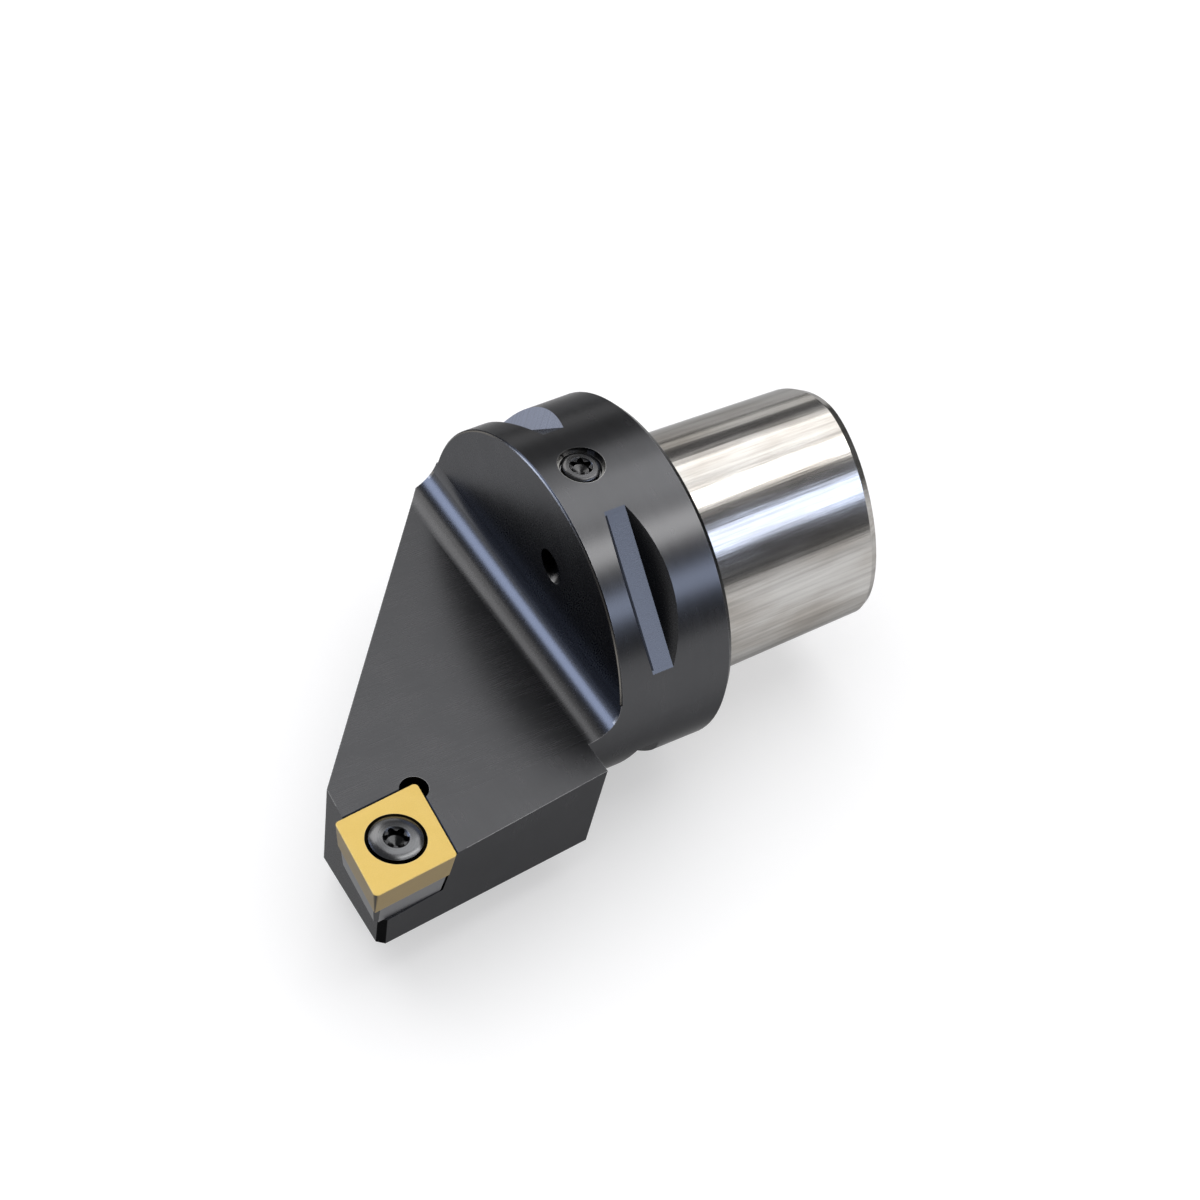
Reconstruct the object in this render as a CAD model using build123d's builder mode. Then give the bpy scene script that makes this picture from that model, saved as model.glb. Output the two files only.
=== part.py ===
from build123d import *
from math import cos, pi, radians, sin, tan
import os

# Turning tool holder: a right-hand cutting head and flange, made in one piece with a
# hollow polygon taper shank. Millimetres.
# Origin: centre of the flange's rear face, which is the gauge plane.
# +X runs forward to the cutting edge, +Y sideways to it, +Z up out of the rake face,
# and the cutting edge lies at centre height, Z = 0.

# ---- Driving dimensions ----

# flange
flange_diameter = 63.0
flange_length = 22.8  # gauge plane to the wall above the head
flange_rear_chamfer = 1.2
wall_edge_break = 0.35
wall_fillet = 6.0  # from the wall down to the rake face

# polygon shank: a three-lobed curve of constant width, one lobe up
shank_length = 38.0
shank_width = 44.0  # constant width at the gauge plane
shank_eccentricity = 1.4
shank_taper = 1 / 20
shank_lead_length = 1.4
shank_lead_depth = 0.6
root_groove_width = 1.6
root_groove_depth = 0.8
curve_points = 60

# clamping bore, from the shank's end inwards
bore_diameter = 28.0
bore_depth = 26.0
bore_chamfer = 1.0
clamp_groove_diameter = 32.0
clamp_groove_start = 9.0  # behind the shank's end
clamp_groove_width = 7.0
draw_thread_diameter = 17.8  # tapping size of the draw bolt's thread
draw_thread_length = 17.0
coolant_chamber_diameter = 10.0
coolant_chamber_length = 11.0
drill_point_angle = 118.0

# gripper slots round the flange
gripper_slot_count = 4
gripper_slot_first_angle = 45.0
gripper_slot_centre = 14.4  # from the gauge plane
gripper_slot_floor_width = 4.0
gripper_slot_depth = 3.4
gripper_slot_rear_angle = 37.0  # lean of the rear wall
gripper_slot_front_angle = 28.0  # lean of the front wall

# cutting edge, measured to the insert's nose
gauge_length = 75.8
tip_offset = 43.1
approach_angle = 95.0

# insert: 80 degree rhombus with 7 degree flanks
insert_circle = 15.875  # inscribed circle
insert_corner_angle = 80.0
insert_thickness = 5.56
insert_relief = 7.0
insert_nose_radius = 0.8
insert_edge_hone = 0.12
insert_hole_diameter = 6.2
insert_seat_diameter = 10.3
insert_seat_lip_depth = 2.2
insert_seat_lip_angle = 3.0
insert_seat_cone_angle = 45.0

# shim under the insert
shim_thickness = 4.76
shim_inset = 0.35  # inside the insert's flanks
shim_nose_chamfer = 1.0
shim_hole_diameter = 8.4
shim_seat_diameter = 10.4
shim_seat_depth = 1.7

# pocket
pocket_wall_clearance = 0.1
pocket_edge_break = 0.2
corner_relief_radius = 2.5
corner_relief_inset = 1.6  # from the pocket's inner corner, along its diagonal

# cutting head
head_side_inset = 0.35
head_side_angle = 6.7
head_side_tilt = 6.3
head_front_inset = 1.6
head_front_tilt = 5.0
head_back_angle = 48.5
head_back_offset = 28.6  # from the axis, where the rake face starts
head_nose_height = 17.9
head_nose_chamfer = 1.3
underside_slope_length = 2.8
underside_slope_side = 9.9

# hollow shim screw
shim_screw_diameter = 8.0
shim_screw_head_diameter = 9.8
shim_screw_head_height = 1.5
shim_screw_length = 11.5
shim_screw_socket = 5.5  # hexagon across flats
shim_screw_socket_depth = 3.0
thread_clearance = 0.03

# insert screw
insert_screw_diameter = 5.0
insert_screw_head_diameter = 9.0
insert_screw_rise = 0.45  # above the rake face
insert_screw_dome = 0.3
insert_screw_flat_diameter = 6.2
insert_screw_length = 15.5
insert_screw_turn = 30.0  # direction of one of its socket's lobes
screw_point_chamfer = 0.6
socket_diameter = 4.3
socket_depth = 1.5
socket_mouth_diameter = 4.5
socket_mouth_depth = 0.3

# six-lobed sockets, in shares of their diameter
socket_lobe_count = 6
socket_lobe_share = 0.14
socket_core_share = 0.36

# coolant plug in the flange's top, and the sealing ring under its head
plug_centre = 15.0  # from the gauge plane
plug_counterbore_diameter = 8.15
plug_counterbore_depth = 1.1
plug_seat_diameter = 7.3  # narrower bore below the counterbore
plug_recess = 0.45
plug_head_diameter = 6.6
plug_head_height = 1.5
plug_head_dome = 0.3
plug_head_flat_diameter = 5.2
plug_turn = 5.0  # direction of one of its socket's lobes
plug_thread_diameter = 5.0
plug_thread_length = 6.5
plug_run_out = 0.5
plug_socket_diameter = 3.9
plug_socket_depth = 1.1
plug_mouth_diameter = 4.1
plug_mouth_depth = 0.25
seal_ring_diameter = 7.0
seal_ring_hole_diameter = 5.2
seal_ring_thickness = 0.5

# coolant drillings
coolant_passage_diameter = 4.2
nozzle_start_height = 18.35  # where the nozzle drilling meets the passage
nozzle_start_side = 0.75
nozzle_diameter = 5.2
nozzle_depth = 4.5
nozzle_drill_diameter = 3.0

seat_clearance = 0.02

# ---- Worked-out sizes ----

flange_radius = flange_diameter / 2
shoulder_x = flange_length + wall_fillet
shank_end = -shank_length
overshoot = flange_radius

# rhombus edges run back from the cutting corner
side_lead = approach_angle - 90
front_lead = 90 - insert_corner_angle - side_lead
side_way = Vector(-cos(radians(side_lead)), -sin(radians(side_lead)))
front_way = Vector(-sin(radians(front_lead)), -cos(radians(front_lead)))
insert_side = insert_circle / sin(radians(insert_corner_angle))
half_corner = insert_corner_angle / 2
diagonal_way = (side_way + front_way).normalized()
nose_centre = Vector(gauge_length - insert_nose_radius, tip_offset - insert_nose_radius)
sharp_corner = nose_centre - diagonal_way * (insert_nose_radius / sin(radians(half_corner)))
insert_centre = sharp_corner + (side_way + front_way) * (insert_side / 2)
inner_corner = sharp_corner + (side_way + front_way) * insert_side
relief_slope = tan(radians(insert_relief))
pocket_depth = insert_thickness + shim_thickness + 2 * seat_clearance
wall_corner = inner_corner + diagonal_way * (pocket_wall_clearance / sin(radians(half_corner)))
relief_centre = wall_corner - diagonal_way * corner_relief_inset
shim_top = -insert_thickness - seat_clearance
shim_screw_seat = shim_top - shim_seat_depth + seat_clearance
shim_screw_end = shim_screw_seat - shim_screw_length
shim_screw_head_top = shim_screw_seat + shim_screw_head_height
insert_section = Plane(origin=(insert_centre.X, insert_centre.Y, 0), x_dir=(1, 0, 0), z_dir=(0, -1, 0))
insert_axis = Axis((insert_centre.X, insert_centre.Y, 0), (0, 0, 1))
plug_section = Plane(origin=(plug_centre, 0, 0), x_dir=(1, 0, 0), z_dir=(0, -1, 0))
plug_axis = Axis((plug_centre, 0, 0), (0, 0, 1))

# shank bore, from the end inwards
bore_radius = bore_diameter / 2
bore_floor = shank_end + bore_depth
thread_floor = bore_floor + draw_thread_length
chamber_radius = coolant_chamber_diameter / 2
chamber_floor = thread_floor + coolant_chamber_length
chamber_tip = chamber_floor + chamber_radius / tan(radians(drill_point_angle / 2))
clamp_groove_centre = shank_end + clamp_groove_start + clamp_groove_width / 2

# gripper slots
slot_floor_radius = flange_radius - gripper_slot_depth
slot_cutter_height = 2 * gripper_slot_depth
slot_rear_reach = gripper_slot_floor_width / 2 + slot_cutter_height * tan(radians(gripper_slot_rear_angle))
slot_front_reach = gripper_slot_floor_width / 2 + slot_cutter_height * tan(radians(gripper_slot_front_angle))

# plug seat, and the nozzle aimed at the cutting corner
plug_top = flange_radius - plug_recess
plug_head_underside = plug_top - plug_head_height
seal_ring_top = plug_head_underside - seat_clearance
seal_ring_underside = seal_ring_top - seal_ring_thickness
plug_seat_height = seal_ring_underside - seat_clearance
plug_end = plug_head_underside - plug_thread_length
nozzle_start = Vector(plug_centre, nozzle_start_side, nozzle_start_height)
nozzle_aim = Vector(gauge_length, tip_offset, 0) - nozzle_start
nozzle_way = nozzle_aim.normalized()
nozzle_mouth = nozzle_start + nozzle_aim * ((flange_length - plug_centre) / nozzle_aim.X)

# screws
seat_lip_radius = insert_seat_diameter / 2 - insert_seat_lip_depth * tan(radians(insert_seat_lip_angle))
cone_fall = 1 / tan(radians(insert_seat_cone_angle))
insert_seat_end = -insert_seat_lip_depth - (seat_lip_radius - insert_hole_diameter / 2) * cone_fall
insert_screw_head_radius = insert_screw_head_diameter / 2
insert_screw_radius = insert_screw_diameter / 2
insert_cone_top = -insert_seat_lip_depth - (seat_lip_radius - insert_screw_head_radius) * cone_fall
insert_cone_top += seat_clearance
insert_cone_end = insert_cone_top - (insert_screw_head_radius - insert_screw_radius) * cone_fall
insert_screw_end = insert_screw_rise - insert_screw_length
insert_screw_brim = insert_screw_rise - insert_screw_dome
plug_brim = plug_top - plug_head_dome


def rhombus(inset):
    """Corners of the insert's outline, moved inwards by inset."""
    corner = sharp_corner + diagonal_way * (inset / sin(radians(half_corner)))
    side = insert_side - 2 * inset / sin(radians(insert_corner_angle))
    ways = (Vector(), side_way, side_way + front_way, front_way)
    ends = [corner + way * side for way in ways]
    return [(end.X, end.Y) for end in ends]


def polygon_curve(width):
    """Points round the shank's section, whose width is the same in every direction."""
    points = []
    for step in range(curve_points):
        turn = 2 * pi * step / curve_points
        reach = width / 2 + shank_eccentricity * cos(3 * turn)
        swing = -3 * shank_eccentricity * sin(3 * turn)
        across = reach * cos(turn) - swing * sin(turn)
        along = reach * sin(turn) + swing * cos(turn)
        points.append((-along, across))
    return points


def six_lobes(diameter, turn):
    """Sketch of a six-lobed driver socket: round lobes about a smaller core."""
    lobe_radius = diameter * socket_lobe_share
    Circle(diameter * socket_core_share)
    with PolarLocations(diameter / 2 - lobe_radius, socket_lobe_count, start_angle=turn):
        Circle(lobe_radius)


def drill_point(diameter, point):
    """Cuts the cone that a drill leaves, from point downwards."""
    with Locations(point):
        Cone(
            bottom_radius=diameter / 2,
            top_radius=0,
            height=diameter / 2 / tan(radians(drill_point_angle / 2)),
            rotation=(180, 0, 0),
            align=(Align.CENTER, Align.CENTER, Align.MIN),
            mode=Mode.SUBTRACT,
        )


def shank_width_at(x):
    return shank_width + shank_taper * x


# ---- Cutting head ----

# The head's section is the flange's circle with a block beside it that carries the overhang.
# Tilted planes then trim the block's front, side and underside.
seat_side_corner = Vector(*rhombus(head_side_inset)[1])
head_side_run = Vector(cos(radians(head_side_angle)), sin(radians(head_side_angle)))
head_side_plane = Plane(
    origin=(seat_side_corner.X, seat_side_corner.Y, 0),
    x_dir=(head_side_run.X, head_side_run.Y, 0),
    z_dir=(
        -head_side_run.Y * cos(radians(head_side_tilt)),
        head_side_run.X * cos(radians(head_side_tilt)),
        -sin(radians(head_side_tilt)),
    ),
)
front_corner = sharp_corner - Vector(head_front_inset, 0)
head_front_plane = Plane(
    origin=(front_corner.X, front_corner.Y, 0),
    x_dir=(front_way.X, front_way.Y, 0),
    z_dir=(
        -front_way.Y * cos(radians(head_front_tilt)),
        front_way.X * cos(radians(head_front_tilt)),
        -sin(radians(head_front_tilt)),
    ),
)
head_back_plane = Plane(
    origin=(shoulder_x, -head_back_offset, 0),
    x_dir=(0, 0, 1),
    z_dir=(sin(radians(head_back_angle)), -cos(radians(head_back_angle)), 0),
)
underside_plane = Plane(
    origin=(front_corner.X, front_corner.Y, -head_nose_height),
    z_dir=(tan(radians(underside_slope_length)), tan(radians(underside_slope_side)), -1),
)

with BuildPart() as head_block:
    with BuildSketch(Plane.YZ.offset(shoulder_x)):
        Circle(flange_radius)
        with BuildLine():
            Polyline(
                (0, 0),
                (tip_offset, 0),
                (tip_offset, -flange_radius),
                (0, -flange_radius),
                close=True,
            )
        make_face()
    extrude(amount=gauge_length - shoulder_x)
    split(bisect_by=head_side_plane, keep=Keep.BOTTOM)
    split(bisect_by=head_front_plane, keep=Keep.BOTTOM)
    split(bisect_by=underside_plane, keep=Keep.BOTTOM)
    nose_edge = head_block.edges().filter_by(lambda edge: edge.length > head_nose_height / 2)
    nose_edge = nose_edge.filter_by(GeomType.LINE).sort_by(
        lambda edge: (edge.center() - Vector(gauge_length, tip_offset, -pocket_depth)).length
    )[0]
    chamfer(nose_edge, length=head_nose_chamfer)

# ---- Tool body: shank, flange and head in one piece ----

with BuildPart() as tool_body:
    # flange, with its rear chamfer and the broken edge of its front wall
    with BuildSketch(Plane.YZ):
        Circle(flange_radius)
    extrude(amount=flange_length)
    chamfer(tool_body.edges().sort_by(Axis.X)[0], length=flange_rear_chamfer)
    chamfer(tool_body.edges().sort_by(Axis.X)[-1], length=wall_edge_break)

    # neck below the wall, and the head's block
    with BuildSketch(Plane.YZ.offset(flange_length - wall_edge_break)):
        Circle(flange_radius)
        with Locations((0, wall_fillet)):
            Rectangle(flange_diameter, flange_diameter, align=(Align.CENTER, Align.MIN), mode=Mode.SUBTRACT)
    extrude(amount=wall_edge_break + wall_fillet)
    add(head_block.part)

    # everything above the rake face goes, up to the wall and its fillet
    with BuildSketch(Plane.XZ):
        with BuildLine():
            Line((flange_length, overshoot), (flange_length, wall_fillet))
            RadiusArc((flange_length, wall_fillet), (shoulder_x, 0), -wall_fillet)
            Polyline(
                (shoulder_x, 0),
                (gauge_length + overshoot, 0),
                (gauge_length + overshoot, overshoot),
                (flange_length, overshoot),
            )
        make_face()
    extrude(amount=2 * overshoot, both=True, mode=Mode.SUBTRACT)
    split(bisect_by=head_back_plane, keep=Keep.BOTTOM)

    # polygon shank with its lead-in
    with BuildSketch(Plane.YZ):
        with BuildLine():
            Spline(*polygon_curve(shank_width_at(0)), periodic=True)
        make_face()
    with BuildSketch(Plane.YZ.offset(shank_end + shank_lead_length)):
        with BuildLine():
            Spline(*polygon_curve(shank_width_at(shank_end + shank_lead_length)), periodic=True)
        make_face()
    loft(ruled=True)
    with BuildSketch(Plane.YZ.offset(shank_end)):
        with BuildLine():
            Spline(*polygon_curve(shank_width_at(shank_end) - 2 * shank_lead_depth), periodic=True)
        make_face()
    with BuildSketch(Plane.YZ.offset(shank_end + shank_lead_length)):
        with BuildLine():
            Spline(*polygon_curve(shank_width_at(shank_end + shank_lead_length)), periodic=True)
        make_face()
    loft(ruled=True)

    # undercut in the flange's rear face, round the shank's root
    with BuildSketch(Plane.YZ):
        with BuildLine():
            Spline(*polygon_curve(shank_width_at(0) + 2 * root_groove_width), periodic=True)
        make_face()
        with BuildLine():
            Spline(*polygon_curve(shank_width_at(0)), periodic=True)
        make_face(mode=Mode.SUBTRACT)
    extrude(amount=root_groove_depth, mode=Mode.SUBTRACT)

    # clamping bore, draw bolt thread and coolant chamber, turned from the shank's end
    with BuildSketch(Plane.XZ):
        with BuildLine():
            Polyline(
                (shank_end, 0),
                (shank_end, bore_radius + bore_chamfer),
                (shank_end + bore_chamfer, bore_radius),
                (bore_floor, bore_radius),
                (bore_floor, draw_thread_diameter / 2),
                (thread_floor, draw_thread_diameter / 2),
                (thread_floor, chamber_radius),
                (chamber_floor, chamber_radius),
                (chamber_tip, 0),
                close=True,
            )
        make_face()
        with Locations((clamp_groove_centre, clamp_groove_diameter / 4)):
            Rectangle(clamp_groove_width, clamp_groove_diameter / 2)
    revolve(axis=Axis.X, mode=Mode.SUBTRACT)

    # gripper slots, flat floored with leaning walls
    for slot in range(gripper_slot_count):
        slot_angle = gripper_slot_first_angle + slot * 360 / gripper_slot_count
        slot_out = Vector(0, cos(radians(slot_angle)), sin(radians(slot_angle)))
        slot_along = Vector(0, -sin(radians(slot_angle)), cos(radians(slot_angle)))
        slot_plane = Plane(
            origin=Vector(gripper_slot_centre, 0, 0) + slot_out * slot_floor_radius,
            x_dir=(1, 0, 0),
            z_dir=slot_along,
        )
        with BuildSketch(slot_plane):
            with BuildLine():
                Polyline(
                    (-gripper_slot_floor_width / 2, 0),
                    (-slot_rear_reach, slot_cutter_height),
                    (slot_front_reach, slot_cutter_height),
                    (gripper_slot_floor_width / 2, 0),
                    close=True,
                )
            make_face()
        extrude(amount=flange_radius, both=True, mode=Mode.SUBTRACT)

    # insert pocket, with the insert's flank angle on its two walls
    reach = insert_side + overshoot
    with BuildSketch(Plane.XY):
        Polygon(
            tuple(wall_corner)[:2],
            tuple(wall_corner - front_way * reach)[:2],
            tuple(wall_corner - (front_way + side_way) * reach)[:2],
            tuple(wall_corner - side_way * reach)[:2],
            align=None,
        )
    extrude(amount=pocket_depth, dir=(0, 0, -1), taper=insert_relief, mode=Mode.SUBTRACT)
    pocket_rims = tool_body.edges().filter_by_position(Axis.Z, 0, 0)
    pocket_rims = pocket_rims.filter_by(
        lambda edge: edge.distance_to(Vector(*wall_corner)) < shim_inset and edge.length > insert_nose_radius
    )
    chamfer(pocket_rims, length=pocket_edge_break)
    with BuildSketch(Plane((relief_centre.X, relief_centre.Y, 0))):
        Circle(corner_relief_radius)
    extrude(amount=-pocket_depth, mode=Mode.SUBTRACT)

    # threaded hole for the shim screw, right through to the underside
    with BuildSketch(Plane((insert_centre.X, insert_centre.Y, -pocket_depth))):
        Circle(shim_screw_diameter / 2 + thread_clearance)
    extrude(amount=-flange_radius, mode=Mode.SUBTRACT)

    # coolant passage up from the chamber, with the plug's thread, seat and counterbore above it
    with BuildSketch(Plane((plug_centre, 0, 0))):
        Circle(coolant_passage_diameter / 2)
    extrude(amount=flange_radius, mode=Mode.SUBTRACT)
    with BuildSketch(Plane((plug_centre, 0, flange_radius - plug_counterbore_depth))):
        Circle(plug_counterbore_diameter / 2)
    extrude(amount=overshoot, mode=Mode.SUBTRACT)
    with BuildSketch(Plane((plug_centre, 0, plug_seat_height))):
        Circle(plug_seat_diameter / 2)
    extrude(amount=overshoot, mode=Mode.SUBTRACT)
    with BuildSketch(Plane((plug_centre, 0, plug_end - plug_run_out))):
        Circle(plug_thread_diameter / 2 + thread_clearance)
    extrude(amount=flange_radius, mode=Mode.SUBTRACT)

    # coolant nozzle drilled back from the wall to the passage, aimed at the cutting corner
    with BuildSketch(Plane(origin=nozzle_start, z_dir=nozzle_way)):
        Circle(nozzle_drill_diameter / 2)
    extrude(amount=flange_length, mode=Mode.SUBTRACT)
    with BuildSketch(Plane(origin=nozzle_mouth - nozzle_way * nozzle_depth, z_dir=nozzle_way)):
        Circle(nozzle_diameter / 2)
    extrude(amount=flange_length, mode=Mode.SUBTRACT)

# ---- Insert ----

with BuildPart() as insert:
    with BuildSketch(Plane.XY) as insert_outline:
        Polygon(*rhombus(0), align=None)
        fillet(insert_outline.vertices(), radius=insert_nose_radius)
    extrude(amount=insert_thickness, dir=(0, 0, -1), taper=insert_relief)
    chamfer(insert.faces().sort_by(Axis.Z)[-1].edges(), length=insert_edge_hone)
    with BuildSketch(insert_section):
        with BuildLine():
            Polyline(
                (0, 0),
                (insert_seat_diameter / 2, 0),
                (seat_lip_radius, -insert_seat_lip_depth),
                (insert_hole_diameter / 2, insert_seat_end),
                (insert_hole_diameter / 2, -insert_thickness),
                (0, -insert_thickness),
                close=True,
            )
        make_face()
    revolve(axis=insert_axis, mode=Mode.SUBTRACT)

# ---- Shim ----

with BuildPart() as shim:
    with BuildSketch(Plane.XY.offset(shim_top)) as shim_outline:
        Polygon(*rhombus(insert_thickness * relief_slope + shim_inset), align=None)
        shim_nose = shim_outline.vertices().sort_by(Axis.Y)[-1]
        chamfer(shim_nose, length=shim_nose_chamfer)
    extrude(amount=shim_thickness, dir=(0, 0, -1), taper=insert_relief)
    with Locations((insert_centre.X, insert_centre.Y, shim_top)):
        CounterBoreHole(
            radius=shim_hole_diameter / 2,
            counter_bore_radius=shim_seat_diameter / 2,
            counter_bore_depth=shim_seat_depth,
            depth=shim_thickness,
        )

# ---- Shim screw: hollow, with a hexagon socket above the insert screw's thread ----

with BuildPart() as shim_screw:
    with BuildSketch(insert_section):
        with BuildLine():
            Polyline(
                (0, shim_screw_end),
                (shim_screw_diameter / 2 - screw_point_chamfer, shim_screw_end),
                (shim_screw_diameter / 2, shim_screw_end + screw_point_chamfer),
                (shim_screw_diameter / 2, shim_screw_seat),
                (shim_screw_head_diameter / 2, shim_screw_seat),
                (shim_screw_head_diameter / 2, shim_screw_head_top),
                (0, shim_screw_head_top),
                close=True,
            )
        make_face()
    revolve(axis=insert_axis)
    with BuildSketch(Plane((insert_centre.X, insert_centre.Y, shim_screw_head_top))):
        RegularPolygon(radius=shim_screw_socket / 2, side_count=6, major_radius=False)
    extrude(amount=-shim_screw_socket_depth, mode=Mode.SUBTRACT)
    with BuildSketch(Plane((insert_centre.X, insert_centre.Y, shim_screw_end))):
        Circle(insert_screw_radius + thread_clearance)
    extrude(amount=shim_screw_length, mode=Mode.SUBTRACT)

# ---- Insert screw: domed head, standing just proud of the rake face ----

with BuildPart() as insert_screw:
    with BuildSketch(insert_section):
        with BuildLine():
            Polyline(
                (0, insert_screw_rise - socket_mouth_depth),
                (socket_mouth_diameter / 2 - socket_mouth_depth, insert_screw_rise - socket_mouth_depth),
                (socket_mouth_diameter / 2, insert_screw_rise),
                (insert_screw_flat_diameter / 2, insert_screw_rise),
            )
            TangentArc(
                (insert_screw_flat_diameter / 2, insert_screw_rise),
                (insert_screw_head_radius, insert_screw_brim),
                tangent=(1, 0),
            )
            Polyline(
                (insert_screw_head_radius, insert_screw_brim),
                (insert_screw_head_radius, insert_cone_top),
                (insert_screw_radius, insert_cone_end),
                (insert_screw_radius, insert_screw_end + screw_point_chamfer),
                (insert_screw_radius - screw_point_chamfer, insert_screw_end),
                (0, insert_screw_end),
                (0, insert_screw_rise - socket_mouth_depth),
            )
        make_face()
    revolve(axis=insert_axis)
    with BuildSketch(Plane((insert_centre.X, insert_centre.Y, insert_screw_rise))):
        six_lobes(socket_diameter, insert_screw_turn)
    extrude(amount=-socket_depth, mode=Mode.SUBTRACT)
    drill_point(
        socket_diameter * 2 * socket_core_share,
        (insert_centre.X, insert_centre.Y, insert_screw_rise - socket_depth),
    )

# ---- Coolant plug ----

with BuildPart() as coolant_plug:
    with BuildSketch(plug_section):
        with BuildLine():
            Polyline(
                (0, plug_top - plug_mouth_depth),
                (plug_mouth_diameter / 2 - plug_mouth_depth, plug_top - plug_mouth_depth),
                (plug_mouth_diameter / 2, plug_top),
                (plug_head_flat_diameter / 2, plug_top),
            )
            TangentArc(
                (plug_head_flat_diameter / 2, plug_top),
                (plug_head_diameter / 2, plug_brim),
                tangent=(1, 0),
            )
            Polyline(
                (plug_head_diameter / 2, plug_brim),
                (plug_head_diameter / 2, plug_head_underside),
                (plug_thread_diameter / 2, plug_head_underside),
                (plug_thread_diameter / 2, plug_end + screw_point_chamfer),
                (plug_thread_diameter / 2 - screw_point_chamfer, plug_end),
                (0, plug_end),
                (0, plug_top - plug_mouth_depth),
            )
        make_face()
    revolve(axis=plug_axis)
    with BuildSketch(Plane((plug_centre, 0, plug_top))):
        six_lobes(plug_socket_diameter, plug_turn)
    extrude(amount=-plug_socket_depth, mode=Mode.SUBTRACT)
    drill_point(plug_socket_diameter * 2 * socket_core_share, (plug_centre, 0, plug_top - plug_socket_depth))

# ---- Sealing ring under the plug's head ----

with BuildPart() as seal_ring:
    with BuildSketch(Plane((plug_centre, 0, seal_ring_underside))):
        Circle(seal_ring_diameter / 2)
        Circle(seal_ring_hole_diameter / 2, mode=Mode.SUBTRACT)
    extrude(amount=seal_ring_thickness)

# ---- Export ----

os.makedirs("parts", exist_ok=True)
for label, piece in (
    ("tool_body", tool_body),
    ("insert", insert),
    ("shim", shim),
    ("shim_screw", shim_screw),
    ("insert_screw", insert_screw),
    ("coolant_plug", coolant_plug),
    ("seal_ring", seal_ring),
):
    piece.part.label = label
    export_step(piece.part, f"parts/{label}.step")
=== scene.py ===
import bpy
from math import cos, pi, radians, sin
from mathutils import Matrix, Vector


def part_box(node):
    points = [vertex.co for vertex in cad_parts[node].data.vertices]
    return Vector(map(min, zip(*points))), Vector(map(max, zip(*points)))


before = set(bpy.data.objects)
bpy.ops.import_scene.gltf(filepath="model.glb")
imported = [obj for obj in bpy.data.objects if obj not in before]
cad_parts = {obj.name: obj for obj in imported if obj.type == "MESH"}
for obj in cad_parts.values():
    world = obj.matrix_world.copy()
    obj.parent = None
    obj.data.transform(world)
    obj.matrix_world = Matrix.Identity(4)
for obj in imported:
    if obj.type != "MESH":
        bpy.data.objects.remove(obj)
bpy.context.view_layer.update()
print("frame loaded:", ", ".join(sorted(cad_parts)))

mm = 0.001
# worn edges and painted edge highlights: the bevel's samples, and the turn of the surface where they
# begin and where they are full
wornLitEdge = {"samples": 6, "turn": (0.01, 0.2)}


class Wire:
    # one socket's value, so shader maths reads as plain expressions
    def __init__(self, pad, socket):
        self.pad = pad
        self.socket = socket

    def maths(self, operation, *values):
        return self.pad.add("ShaderNodeMath", {"operation": operation}, dict(enumerate(values)))

    def __add__(self, other):
        return self.maths("ADD", self, other)

    def __radd__(self, other):
        return self.maths("ADD", other, self)

    def __sub__(self, other):
        return self.maths("SUBTRACT", self, other)

    def __rsub__(self, other):
        return self.maths("SUBTRACT", other, self)

    def __mul__(self, other):
        return self.maths("MULTIPLY", self, other)

    def __rmul__(self, other):
        return self.maths("MULTIPLY", other, self)

    def __pow__(self, other):
        return self.maths("POWER", self, other)

    def __gt__(self, other):
        return self.maths("GREATER_THAN", self, other)

    def __lt__(self, other):
        return self.maths("LESS_THAN", self, other)

    def __abs__(self):
        return self.maths("ABSOLUTE", self)

    def within(self, low, high):
        # 1 from low to high, 0 outside
        return (self > low) * (self < high)

    def between(self, low, high):
        # 0 below low, 1 above high, smooth in between
        ramp = {"From Min": low, "From Max": high, 0: self}
        return self.pad.add("ShaderNodeMapRange", {"interpolation_type": "SMOOTHSTEP"}, ramp)

    def swing(self, much):
        # a gain that goes evenly either side of 1 as the value goes from 0 to 1
        return self * much + (1 - much / 2)


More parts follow.
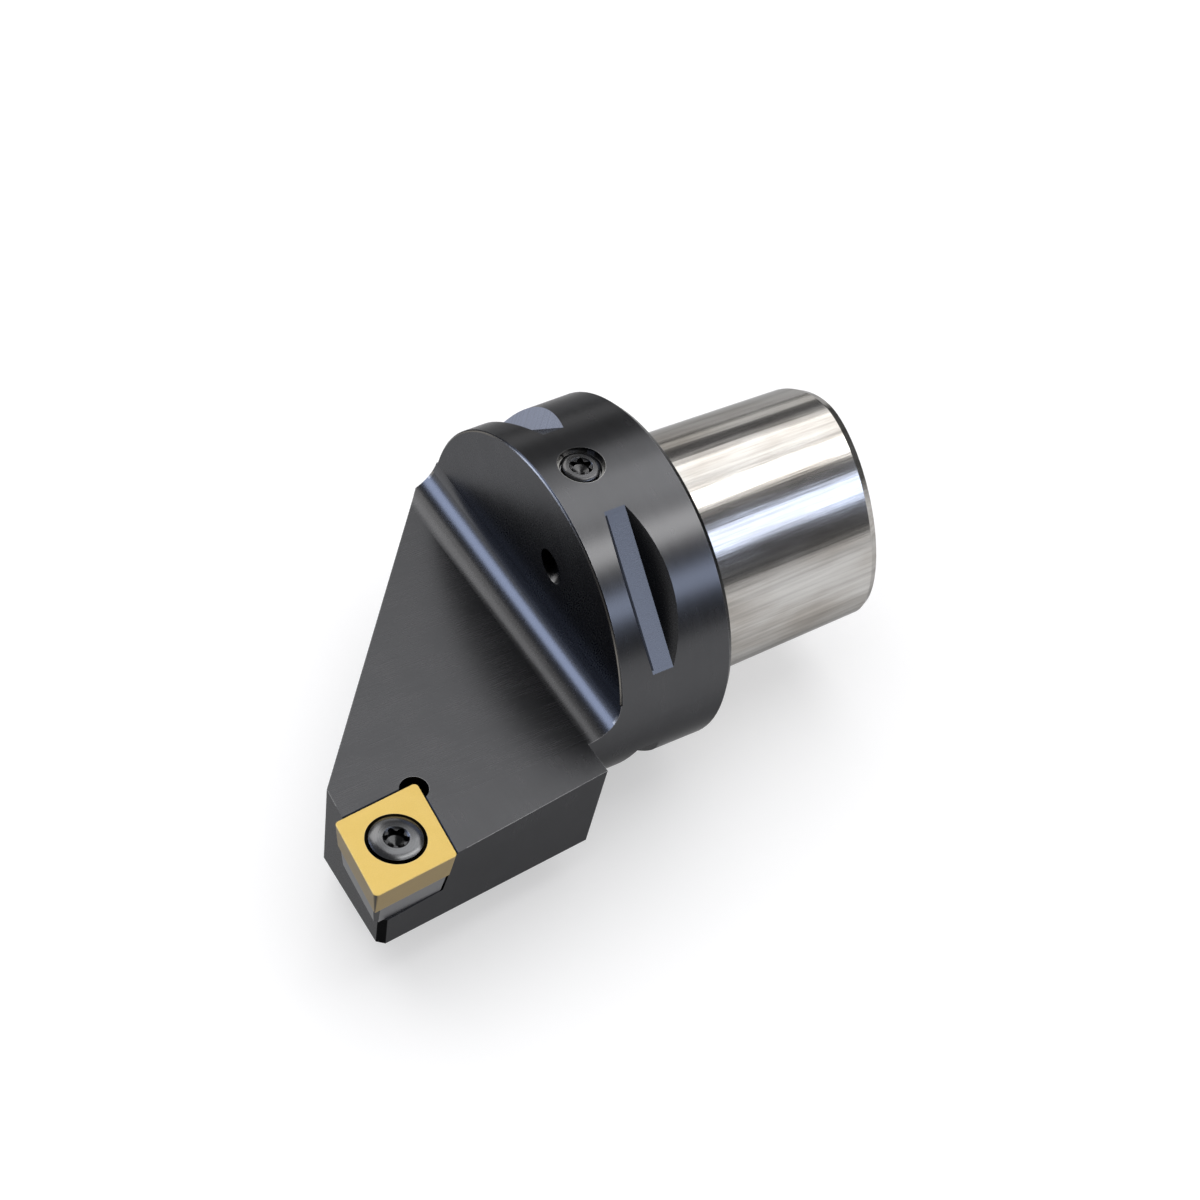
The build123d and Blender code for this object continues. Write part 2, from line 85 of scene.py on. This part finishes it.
class NodePad:
    def __init__(self, owner):
        owner.use_nodes = True
        self.tree = owner.node_tree
        self.tree.nodes.clear()

    def add(self, kind, settings=None, sockets=None, out=0):
        node = self.tree.nodes.new(kind)
        for name, value in (settings or {}).items():
            if name == "stops":
                self.setStops(node.color_ramp, value)
            else:
                setattr(node, name, value)
        for name, value in (sockets or {}).items():
            if isinstance(value, Wire):
                self.tree.links.new(value.socket, node.inputs[name])
            else:
                node.inputs[name].default_value = value
        # an output node has nothing to pass on
        if len(node.outputs):
            return Wire(self, node.outputs[out])

    def setStops(self, ramp, stops):
        while len(ramp.elements) < len(stops):
            ramp.elements.new(0.5)
        for element, (place, colour) in zip(ramp.elements, stops):
            element.position = place
            element.color = colour

    def split(self, vector):
        parts = self.add("ShaderNodeSeparateXYZ", None, {0: vector})
        return [Wire(self, part) for part in parts.socket.node.outputs]

    def place(self):
        # the row's own coordinates, in metres
        return self.add("ShaderNodeTexCoord", out="Object")

    def facing(self):
        # which way the face looks, as three parts
        return self.split(self.add("ShaderNodeNewGeometry", out="True Normal"))

    def noise(self, cells, detail, rough):
        values = {"Vector": cells, "Scale": 1.0, "Detail": detail, "Roughness": rough}
        return self.add("ShaderNodeTexNoise", None, values)

    def stretched(self, position, cells, detail=4.0, rough=0.6):
        # noise drawn out along an axis: the number of cells per metre along each axis
        grown = self.add("ShaderNodeVectorMath", {"operation": "MULTIPLY"}, {0: position, 1: cells})
        return self.noise(grown, detail, rough)

    def lined(self, first, second=0.0, detail=3.0, rough=0.5):
        # noise that changes only with two values, such as the distance from an axis
        cells = self.add("ShaderNodeCombineXYZ", None, {0: first, 1: second})
        return self.noise(cells, detail, rough)

    def blend(self, factor, first, second):
        # 6, 7 and output 2 are the Mix node's colour sockets
        values = {"Factor": factor, 6: first, 7: second}
        return self.add("ShaderNodeMix", {"data_type": "RGBA"}, values, 2)

    def tone(self, colour, gain):
        # colour times a value
        if not isinstance(colour, Wire):
            colour = colour[:3]
        return self.add("ShaderNodeVectorMath", {"operation": "SCALE"}, {0: colour, "Scale": gain})

    def edges(self, radius):
        # 1 on sharp outer edges, fading out over the radius
        rounded = self.add("ShaderNodeBevel", {"samples": wornLitEdge["samples"]}, {"Radius": radius})
        flat = self.add("ShaderNodeNewGeometry", out="Normal")
        pair = {0: rounded, 1: flat}
        alike = self.add("ShaderNodeVectorMath", {"operation": "DOT_PRODUCT"}, pair, "Value")
        return (1 - alike).between(*wornLitEdge["turn"])

    def bump(self, height, distance, strength=1.0):
        relief = {"Strength": strength, "Distance": distance, "Height": height}
        return self.add("ShaderNodeBump", None, relief)

    def finish(self, sockets):
        shader = self.add("ShaderNodeBsdfPrincipled", None, sockets)
        self.add("ShaderNodeOutputMaterial", None, {"Surface": shader})


def newMaterial(name):
    material = bpy.data.materials.new(name)
    return material, NodePad(material)


def rgb(red, green, blue):
    return (red, green, blue, 1.0)


def length(first, second):
    return (first * first + second * second) ** 0.5


def offsets(box, x, y):
    # how far a point is from the middle of a piece's box, along X and along Y
    low, high = box
    return x - (low[0] + high[0]) / 2, y - (low[1] + high[1]) / 2


bodyLook = {
    "blackOxide": rgb(0.0735, 0.074, 0.077),
    "glancing": rgb(0.45, 0.45, 0.45),
    "blackGrain": 0.32,
    "blackMottle": 0.16,
    "blackRough": 0.19,
    "blackRoughGrain": 0.10,
    "blackRoughMottle": 0.05,
    # grain and mottling: cells per metre along X, Y and Z
    "turnedGrain": {"cells": (1300, 5, 5), "detail": 0.0},
    "turnedDepth": 0.2,
    "brushedGrain": {"cells": (110, 4200, 4200)},
    "mottle": {"cells": (160, 160, 160), "detail": 3.0, "rough": 0.5},
    # a tilt is how far a face looks along an axis, from -1 to 1
    "lengthwiseTilt": 0.3,
    "flangeSide": 31.2 * mm,
    # the pocket, with the insert in it
    "pocketReach": 11.5 * mm,
    "pocketTop": -0.01 * mm,
    "pocketShade": 0.85,
    # the far slot's sloping floor, with a painted bluish reflection broken by fine lines
    "sheenTilt": (0.7, 0.9),
    "sheenEnd": 20 * mm,
    "slotSheen": rgb(0.28, 0.305, 0.38),
    "rubLines": 1100,
    "rubAlong": 90,
    "sheenBase": 0.5,
    "sheenByLines": 0.85,
    # the flange's front wall, lightened as painted sheen, and the rim round it, darkened as painted
    # shade, with a painted highlight on the rim's edge break
    "wallTilt": 0.95,
    "wallPlace": (20 * mm, 25 * mm),
    "wallPaintedSheen": 0.35,
    "rimTilt": (0.3, 0.95),
    "rimPlace": (20 * mm, 24 * mm),
    "rimRadius": 31 * mm,
    "rimShade": 0.4,
    "edgeBreakHighlight": rgb(0.17, 0.16, 0.145),
    "brokenEdgeStart": 22.62 * mm,
    # painted shade on the cut-off corner of the head, below the insert's nose
    "noseTilt": 0.5,
    "noseStart": 60 * mm,
    "noseShade": 0.85,
    # painted shade on the slots' steep front walls, and on the corner at their foot
    "slotWallTilt": -0.8,
    "slotWallPlace": (12 * mm, 21 * mm),
    "slotCornerPlace": (16.05 * mm, 16.45 * mm),
    "slotCornerRadius": 28 * mm,
    "slotShade": 0.8,
    # the bare ledge round the plug
    "ledgeSteel": rgb(0.24, 0.235, 0.225),
    "ledgeReach": 4.1 * mm,
    "ledgeTilt": 0.9,
    "ledgeHeight": 30 * mm,
    # edges worn bright and painted lighter as highlights, except beside the slots and where a face looks
    # forward
    "edgeSteelAndHighlight": rgb(0.36, 0.36, 0.365),
    "edgeReach": 0.2 * mm,
    "edgeWearAndHighlight": 0.75,
    "edgeTilt": 0.6,
    "besideSlots": (3 * mm, 21 * mm),
    "slotMiddle": 6 * mm,
    # the ground shank
    "shankStart": 0.02 * mm,
    "shankSteel": rgb(0.39, 0.382, 0.369),
    "shankWarm": rgb(0.377, 0.354, 0.325),
    "shankGain": 0.53,
    "shankRough": 0.12,
    "shankRoughGrain": 0.05,
    "shankRoughCloud": 0.07,
    "groundGrain": {"cells": (70, 4500, 4500)},
    "groundStreak": {"cells": (9, 900, 900), "detail": 3.0, "rough": 0.55},
    "groundCloud": {"cells": (45, 130, 130), "detail": 3.0, "rough": 0.55},
    "grainShare": 0.34,
    "streakShare": 0.34,
    "streakRange": (0.26, 0.74),
    "cleanShare": 0.32,
    "cleanRange": (0.28, 0.72),
    # the shank's faced ends
    "endTilt": 0.7,
    "facedLines": 1500,
    "facedDetail": 2.0,
    "facedGain": 0.2,
    "facedDepth": 0.5,
    # how deep the lines are
    "relief": 0.02 * mm,
    "brushedRelief": 0.12,
    "groundRelief": 0.08,
}


def bodyMaterial():
    look = bodyLook
    material, pad = newMaterial("blackenedSteel")
    position = pad.place()
    x, y, z = pad.split(position)
    across, side, up = pad.facing()
    radius = length(y, z)

    onShank = x < look["shankStart"]
    outside = radius > look["flangeSide"]
    lengthwise = abs(across) < look["lengthwiseTilt"]
    turned = outside * lengthwise * (x > 0)
    # the pocket's walls look at the insert's middle, and little light gets in between
    outX, outY = offsets(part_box("insert"), x, y)
    nearPocket = length(outX, outY) < look["pocketReach"]
    inPocket = nearPocket * (across * outX + side * outY < 0) * (z < look["pocketTop"])
    # painted reflection: the far slot's sloping floor gets a bluish sheen, broken by fine lines
    paintedSlotSheen = across.within(*look["sheenTilt"]) * (y < 0) * (x < look["sheenEnd"])
    wall = (across > look["wallTilt"]) * x.within(*look["wallPlace"])
    wallRim = across.within(*look["rimTilt"]) * x.within(*look["rimPlace"]) * (radius > look["rimRadius"])
    edgeBreakHighlight = wallRim * (x > look["brokenEdgeStart"])
    nose = (across > look["noseTilt"]) * (side > look["noseTilt"]) * (x > look["noseStart"])
    slotWall = (across < look["slotWallTilt"]) * x.within(*look["slotWallPlace"])
    slotCorner = lengthwise * x.within(*look["slotCornerPlace"])
    slotCorner = slotCorner * (1 - outside) * (radius > look["slotCornerRadius"])
    onLedge = length(*offsets(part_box("coolant_plug"), x, y)) < look["ledgeReach"]
    onLedge = onLedge * (up > look["ledgeTilt"]) * (z > look["ledgeHeight"])

    # turned grooves run round the axis, so they change along it only
    turnedGrain = 0.5 + (pad.stretched(position, **look["turnedGrain"]) - 0.5) * look["turnedDepth"]
    brushedGrain = pad.stretched(position, **look["brushedGrain"])
    mottle = pad.stretched(position, **look["mottle"])
    grain = turnedGrain * turned + brushedGrain * (1 - turned)

    # edges are worn bright and painted lighter as highlights on the head, round the flange's rims and
    # round the plug's hole
    besideSlots = x.within(*look["besideSlots"]) * (abs(y) > look["slotMiddle"])
    wornAndLit = (1 - nearPocket) * (1 - besideSlots) * (across < look["edgeTilt"])
    edge = pad.edges(look["edgeReach"]) * wornAndLit
    blackGain = grain.swing(look["blackGrain"]) + mottle.swing(look["blackMottle"]) - 1
    black = pad.tone(look["blackOxide"], blackGain)
    rubGrain = pad.lined((y + z) * look["rubLines"], x * look["rubAlong"])
    # the painted bluish reflection on the far slot's floor
    black = pad.blend(paintedSlotSheen * (look["sheenBase"] + rubGrain * look["sheenByLines"]), black, look["slotSheen"])
    black = pad.blend(edge * look["edgeWearAndHighlight"], black, look["edgeSteelAndHighlight"])
    # painted highlight on the wall rim's edge break
    black = pad.blend(edgeBreakHighlight, black, look["edgeBreakHighlight"])
    black = pad.blend(onLedge, black, look["ledgeSteel"])
    # painted shade darkens the pocket, the nose face, the slots' front walls and corners and the wall's
    # rim; painted sheen lightens the flange's front wall
    shade = inPocket * look["pocketShade"] + nose * look["noseShade"]
    shade = shade + (slotWall + slotCorner) * look["slotShade"]
    shade = shade + (wallRim - edgeBreakHighlight) * look["rimShade"]
    black = pad.tone(black, 1 + wall * look["wallPaintedSheen"] - shade)

    # the shank is ground along its length, and handling has left warmer, darker clouds on it
    groundGrain = pad.stretched(position, **look["groundGrain"])
    groundStreak = pad.stretched(position, **look["groundStreak"])
    groundCloud = pad.stretched(position, **look["groundCloud"])
    clean = groundCloud.between(*look["cleanRange"])
    streaks = groundStreak.between(*look["streakRange"])
    groundMarks = streaks * look["streakShare"] + groundGrain * look["grainShare"]
    groundMarks = groundMarks + clean * look["cleanShare"]
    # its end faces are turned, in rings
    onEnd = abs(across) > look["endTilt"]
    facedGrain = pad.lined(radius * look["facedLines"], detail=look["facedDetail"])
    facedMarks = look["facedGain"] + facedGrain * look["facedDepth"]
    marks = groundMarks * (1 - onEnd) + facedMarks * onEnd
    steel = pad.blend(clean, look["shankWarm"], look["shankSteel"])
    steel = pad.tone(steel, look["shankGain"] + marks)

    blackRough = look["blackRough"] + grain * look["blackRoughGrain"] + mottle * look["blackRoughMottle"]
    shankRough = look["shankRough"] + groundGrain * look["shankRoughGrain"]
    shankRough = shankRough + groundCloud * look["shankRoughCloud"]
    brushedHeight = brushedGrain * look["brushedRelief"] * (1 - turned)
    groundHeight = (groundGrain * look["groundRelief"] + groundStreak) * (1 - onEnd)
    height = brushedHeight * (1 - onShank) + groundHeight * onShank
    pad.finish({
        "Base Color": pad.blend(onShank, black, steel),
        "Roughness": blackRough * (1 - onShank) + shankRough * onShank,
        "Metallic": 1.0,
        "Specular Tint": look["glancing"],
        "Normal": pad.bump(height, look["relief"]),
    })
    return material


insertLook = {
    "gold": rgb(0.615, 0.428, 0.098),
    "goldPale": rgb(0.645, 0.46, 0.125),
    "paleShare": 0.5,
    "flank": rgb(0.355, 0.257, 0.10),
    "rough": 0.5,
    "roughGrain": 0.1,
    "metallic": 0.25,
    "edge": rgb(0.90, 0.74, 0.40),
    "edgeReach": 0.16 * mm,
    "edgeWearAndHighlight": 0.6,
    "speckle": {"cells": (5200, 5200, 5200), "detail": 2.0, "rough": 0.6},
    "speckleDepth": 0.26,
    "cloud": {"cells": (420, 420, 420), "detail": 3.0, "rough": 0.5},
    "cloudRange": (0.2, 0.8),
    "holeReach": 5.25 * mm,
    "holeTop": -0.02 * mm,
    "holeShade": 0.96,
    "flankTilt": 0.5,
    "frontShade": 0.46,
    "sideShade": 0.17,
    "noseTilt": 0.3,
    "noseShade": 0.3,
    "relief": 0.015 * mm,
    "reliefStrength": 0.2,
}


def insertMaterial():
    look = insertLook
    material, pad = newMaterial("goldCoating")
    position = pad.place()
    x, y, z = pad.split(position)
    across, side, up = pad.facing()
    inHole = length(*offsets(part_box("insert_screw"), x, y)) < look["holeReach"]
    inHole = inHole * (z < look["holeTop"])
    onFlank = (up < look["flankTilt"]) * (1 - inHole)
    onFront = onFlank * (across > look["flankTilt"])
    onSide = onFlank * (side > look["flankTilt"])
    onNose = onFlank * (across > look["noseTilt"]) * (side > look["noseTilt"])
    speckle = pad.stretched(position, **look["speckle"])
    cloud = pad.stretched(position, **look["cloud"]).between(*look["cloudRange"])
    colour = pad.blend(cloud * look["paleShare"], look["gold"], look["goldPale"])
    # the flanks' own browner colour, painted darker as shade
    colour = pad.blend(onFlank, colour, look["flank"])
    colour = pad.tone(colour, speckle.swing(look["speckleDepth"]))
    # edges worn bright and painted lighter as highlights
    colour = pad.blend(pad.edges(look["edgeReach"]) * look["edgeWearAndHighlight"], colour, look["edge"])
    # painted shade in the screw's hole, on the front and side flanks and on the nose
    shade = inHole * look["holeShade"] + onFront * look["frontShade"]
    shade = shade + onSide * look["sideShade"] + onNose * look["noseShade"]
    pad.finish({
        "Base Color": pad.tone(colour, 1 - shade),
        "Roughness": look["rough"] + speckle * look["roughGrain"],
        "Metallic": look["metallic"],
        "Normal": pad.bump(speckle, look["relief"], look["reliefStrength"]),
    })
    return material


shimLook = {
    "grey": rgb(0.14, 0.14, 0.144),
    "rough": 0.38,
    "roughGrain": 0.15,
    "metallic": 0.8,
    "edge": rgb(0.26, 0.26, 0.27),
    "edgeReach": 0.2 * mm,
    "edgeWearAndHighlight": 0.5,
    "grain": {"cells": (400, 400, 6000)},
    "grainDepth": 0.4,
    "frontTilt": 0.5,
    "frontShade": 0.3,
    "noseTilt": 0.3,
    "noseShade": 0.4,
    "relief": 0.015 * mm,
    "reliefStrength": 0.2,
}


def shimMaterial():
    look = shimLook
    material, pad = newMaterial("groundCarbide")
    grain = pad.stretched(pad.place(), **look["grain"])
    across, side = pad.facing()[:2]
    # painted shade on the front flank and the nose
    onFront = across > look["frontTilt"]
    onNose = (across > look["noseTilt"]) * (side > look["noseTilt"])
    colour = pad.tone(look["grey"], grain.swing(look["grainDepth"]))
    # edges worn bright and painted lighter as highlights
    colour = pad.blend(pad.edges(look["edgeReach"]) * look["edgeWearAndHighlight"], colour, look["edge"])
    pad.finish({
        "Base Color": pad.tone(colour, 1 - onFront * look["frontShade"] - onNose * look["noseShade"]),
        "Roughness": look["rough"] + grain * look["roughGrain"],
        "Metallic": look["metallic"],
        "Normal": pad.bump(grain, look["relief"], look["reliefStrength"]),
    })
    return material


# the screws, the plug and the seal ring are turned alike
turnedLook = {
    "rings": 6000,
    "sideLines": 3000,
    "grainDepth": 0.4,
    "roughGrain": 0.1,
    "metallic": 0.95,
    "edgeWearAndHighlight": 0.7,
    "mouthTop": 0.05 * mm,
    "mouthShade": 0.55,
    "socketShade": 0.85,
    "floorTilt": 0.6,
    "sideTilt": 0.2,
    "sideShade": 0.9,
    "relief": 0.0015,
}
screwLook = {
    "steel": rgb(0.105, 0.107, 0.111),
    "rough": 0.2,
    "edge": rgb(0.24, 0.24, 0.25),
    "edgeReach": 0.10 * mm,
    "dome": 18 * mm,
    "mouth": 0.32 * mm,
    "socketReach": 2.2 * mm,
    "socketDepth": 1.1 * mm,
    "socketLight": 0.2,
}
shimScrewLook = {**screwLook, "socketReach": 3.2 * mm}
plugLook = {
    "steel": rgb(0.075, 0.075, 0.077),
    "rough": 0.22,
    "edge": rgb(0.40, 0.40, 0.41),
    "edgeReach": 0.24 * mm,
    "dome": 16 * mm,
    "mouth": 0.27 * mm,
    "socketReach": 2 * mm,
    "socketDepth": 0.9 * mm,
    "socketLight": 0.5,
}
sealLook = {
    "steel": rgb(0.26, 0.26, 0.265),
    "rough": 0.3,
    "edge": rgb(0.5, 0.5, 0.51),
    "edgeReach": 0.12 * mm,
    "dome": 400 * mm,
    "mouth": 0,
    "socketReach": 0,
    "socketDepth": 0,
    "socketLight": 0,
}


def turnedSteel(name, pieceLook, box):
    # rings round the screw's own axis, which stands along Z; painted shade darkens the socket and its
    # mouth, the socket's floor is painted lighter, and the sides are darker
    look = {**turnedLook, **pieceLook}
    top = box[1][2]
    material, pad = newMaterial(name)
    x, y, z = pad.split(pad.place())
    up = pad.facing()[2]
    reach = length(*offsets(box, x, y))
    grain = pad.lined(reach * look["rings"], z * look["sideLines"])
    colour = pad.tone(look["steel"], grain.swing(look["grainDepth"]))
    # edges worn bright and painted lighter as highlights
    colour = pad.blend(pad.edges(look["edgeReach"]) * look["edgeWearAndHighlight"], colour, look["edge"])
    inMiddle = reach < look["socketReach"]
    inSocket = inMiddle * (z < top - look["mouth"])
    onSide = (abs(up) < look["sideTilt"]) * (1 - inSocket)
    atMouth = inMiddle * (z < top - look["mouthTop"]) * (1 - inSocket)
    socketFloor = inSocket * (up > look["floorTilt"]) * (z < top - look["socketDepth"])
    # painted shade in the socket and at its mouth, painted light on its floor, and darker sides
    shade = inSocket * look["socketShade"] + atMouth * look["mouthShade"]
    shade = shade - socketFloor * look["socketLight"] + onSide * look["sideShade"]
    # the head is slightly domed: its height falls away with the square of the distance out
    dome = reach * reach * (-0.5 / (look["dome"] * mm))
    pad.finish({
        "Base Color": pad.tone(colour, 1 - shade),
        "Roughness": look["rough"] + grain * look["roughGrain"],
        "Metallic": look["metallic"],
        "Normal": pad.bump(dome + grain * look["relief"], mm),
    })
    return material


def dress(node, material):
    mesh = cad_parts[node].data
    mesh.materials.clear()
    mesh.materials.append(material)


dress("tool_body", bodyMaterial())
dress("insert", insertMaterial())
dress("shim", shimMaterial())
dress("insert_screw", turnedSteel("screwSteel", screwLook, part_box("insert_screw")))
dress("shim_screw", turnedSteel("shimScrewSteel", shimScrewLook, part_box("shim_screw")))
dress("coolant_plug", turnedSteel("plugSteel", plugLook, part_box("coolant_plug")))
dress("seal_ring", turnedSteel("sealSteel", sealLook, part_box("seal_ring")))
print("finishes on")


def addObject(name, data):
    thing = bpy.data.objects.new(name, data)
    bpy.context.scene.collection.objects.link(thing)
    return thing


def stand(thing, right, up, back, spot):
    # lamps and cameras look along their own -Z, away from back
    turn = Matrix((right, up, back)).transposed().to_4x4()
    thing.matrix_world = Matrix.Translation(spot) @ turn


floorLook = {"size": 3.0, "height": -31.6 * mm, "white": rgb(0.60, 0.60, 0.60), "glow": 0.46}


def makeFloor():
    half = floorLook["size"] / 2
    height = floorLook["height"]
    corners = [(-half, -half, height), (half, -half, height), (half, half, height), (-half, half, height)]
    mesh = bpy.data.meshes.new("floor")
    mesh.from_pydata(corners, [], [(0, 1, 2, 3)])
    floor = addObject("floor", mesh)
    material, pad = newMaterial("paleFloor")
    # seen directly, in a reflection or through glass it glows a little, so it reads as white
    rays = ["Is Camera Ray", "Is Glossy Ray", "Is Transmission Ray"]
    direct, mirrored, through = [pad.add("ShaderNodeLightPath", out=ray) for ray in rays]
    seen = direct + mirrored + through
    diffuse = pad.add("ShaderNodeBsdfDiffuse", None, {"Color": floorLook["white"]})
    glowing = {"Color": rgb(1, 1, 1), "Strength": seen * floorLook["glow"]}
    glow = pad.add("ShaderNodeEmission", None, glowing)
    surface = pad.add("ShaderNodeAddShader", None, {0: diffuse, 1: glow})
    pad.add("ShaderNodeOutputMaterial", None, {"Surface": surface})
    mesh.materials.append(material)


makeFloor()
print("floor down")


# each lamp: direction from the object, radiance, width and height in degrees, and colour
lampDistance = 1.6
lamps = {
    "topStrip": {"from": (-0.42, -0.16, 0.89), "glow": 2.4, "spread": (74, 24), "tint": (1, 1, 1)},
    "backStrip": {"from": (-0.36, -0.50, 0.79), "glow": 1.35, "spread": (78, 20), "tint": (1, 1, 1)},
    "gapStrip": {"from": (-0.42, 0.17, 0.89), "glow": 1.4, "spread": (72, 15), "tint": (1, 1, 1)},
    "sideStrip": {"from": (-0.42, 0.37, 0.83), "glow": 5.2, "spread": (70, 14), "tint": (1, 0.99, 0.97)},
    "lowStrip": {"from": (-0.42, 0.77, 0.47), "glow": 4.2, "spread": (70, 14), "tint": (0.66, 0.76, 1)},
    "rimStrip": {"from": (-0.45, -0.86, 0.19), "glow": 1.05, "spread": (60, 13), "tint": (1, 0.99, 0.97)},
    "coolWindow": {"from": (0.80, -0.55, 0.27), "glow": 6.2, "spread": (40, 26), "tint": (0.60, 0.71, 1)},
    "key": {"from": (0.10, -0.80, 0.60), "glow": 3.0, "spread": (34, 34), "tint": (1, 0.98, 0.95)},
    "softBox": {"from": (0.03, -0.20, 0.98), "glow": 1.5, "spread": (76, 76), "tint": (1, 1, 1)},
}
# the soft box lights matt surfaces and the floor, the others only show as reflections
softLamp = "softBox"
# most lamps lie along the tool's axis as nearly as they can, and the window stands level
levelLamp = "coolWindow"


def makeLamp(name, lamp):
    toLamp = Vector(lamp["from"]).normalized()
    light = bpy.data.lights.new(name, "AREA")
    light.shape = "RECTANGLE"
    wide, tall = lamp["spread"]
    light.size = 2 * lampDistance * sin(radians(wide / 2))
    light.size_y = 2 * lampDistance * sin(radians(tall / 2))
    light.energy = lamp["glow"] * pi * light.size * light.size_y
    light.color = lamp["tint"]
    holder = addObject(name, light)
    holder.visible_glossy = name != softLamp
    holder.visible_diffuse = name == softLamp
    if name == levelLamp:
        along = Vector((0, 0, 1)).cross(toLamp).normalized()
    else:
        along = (Vector((1, 0, 0)) - toLamp * toLamp.x).normalized()
    stand(holder, along, toLamp.cross(along), toLamp, toLamp * lampDistance)


for name, lamp in lamps.items():
    makeLamp(name, lamp)

# the world's grey by height, and how much more of it matt surfaces and the floor get
worldLook = {
    "stops": [
        (0.0, rgb(0.07, 0.07, 0.07)),
        (0.12, rgb(0.13, 0.13, 0.135)),
        (1.0, rgb(0.16, 0.16, 0.165)),
    ],
    "mattFill": 3.0,
}


def makeWorld():
    world = bpy.data.worlds.new("studio")
    bpy.context.scene.world = world
    pad = NodePad(world)
    rise = pad.split(pad.add("ShaderNodeTexCoord", out="Generated"))[2]
    sky = pad.add("ShaderNodeValToRGB", {"stops": worldLook["stops"]}, {0: abs(rise)})
    # matt surfaces and the floor get most of their light from all round, so shadows stay close
    matt = pad.add("ShaderNodeLightPath", out="Is Diffuse Ray")
    strength = 1 + matt * worldLook["mattFill"]
    background = pad.add("ShaderNodeBackground", None, {"Color": sky, "Strength": strength})
    pad.add("ShaderNodeOutputWorld", None, {"Surface": background})


makeWorld()
print("lights on")


view = {
    "azimuth": 141.12,
    "elevation": 47.85,
    "roll": 9.80,
    "distance": 0.600,
    "aside": 6.02 * mm,
    "above": 6.65 * mm,
    "lens": 103.02,
    "sensor": 36,
    "nearest": 0.01,
    "farthest": 20,
}


def makeCamera():
    azimuth = radians(view["azimuth"])
    elevation = radians(view["elevation"])
    roll = radians(view["roll"])
    back = Vector((sin(azimuth) * cos(elevation), -cos(azimuth) * cos(elevation), sin(elevation)))
    right = Vector((0, 0, 1)).cross(back).normalized()
    up = back.cross(right)
    right, up = right * cos(roll) + up * sin(roll), up * cos(roll) - right * sin(roll)
    camera = bpy.data.cameras.new("camera")
    camera.sensor_width = view["sensor"]
    camera.lens = view["lens"]
    camera.clip_start = view["nearest"]
    camera.clip_end = view["farthest"]
    holder = addObject("camera", camera)
    stand(holder, right, up, back, back * view["distance"] - right * view["aside"] - up * view["above"])
    bpy.context.scene.camera = holder


makeCamera()
bpy.context.scene.view_settings.view_transform = "Standard"
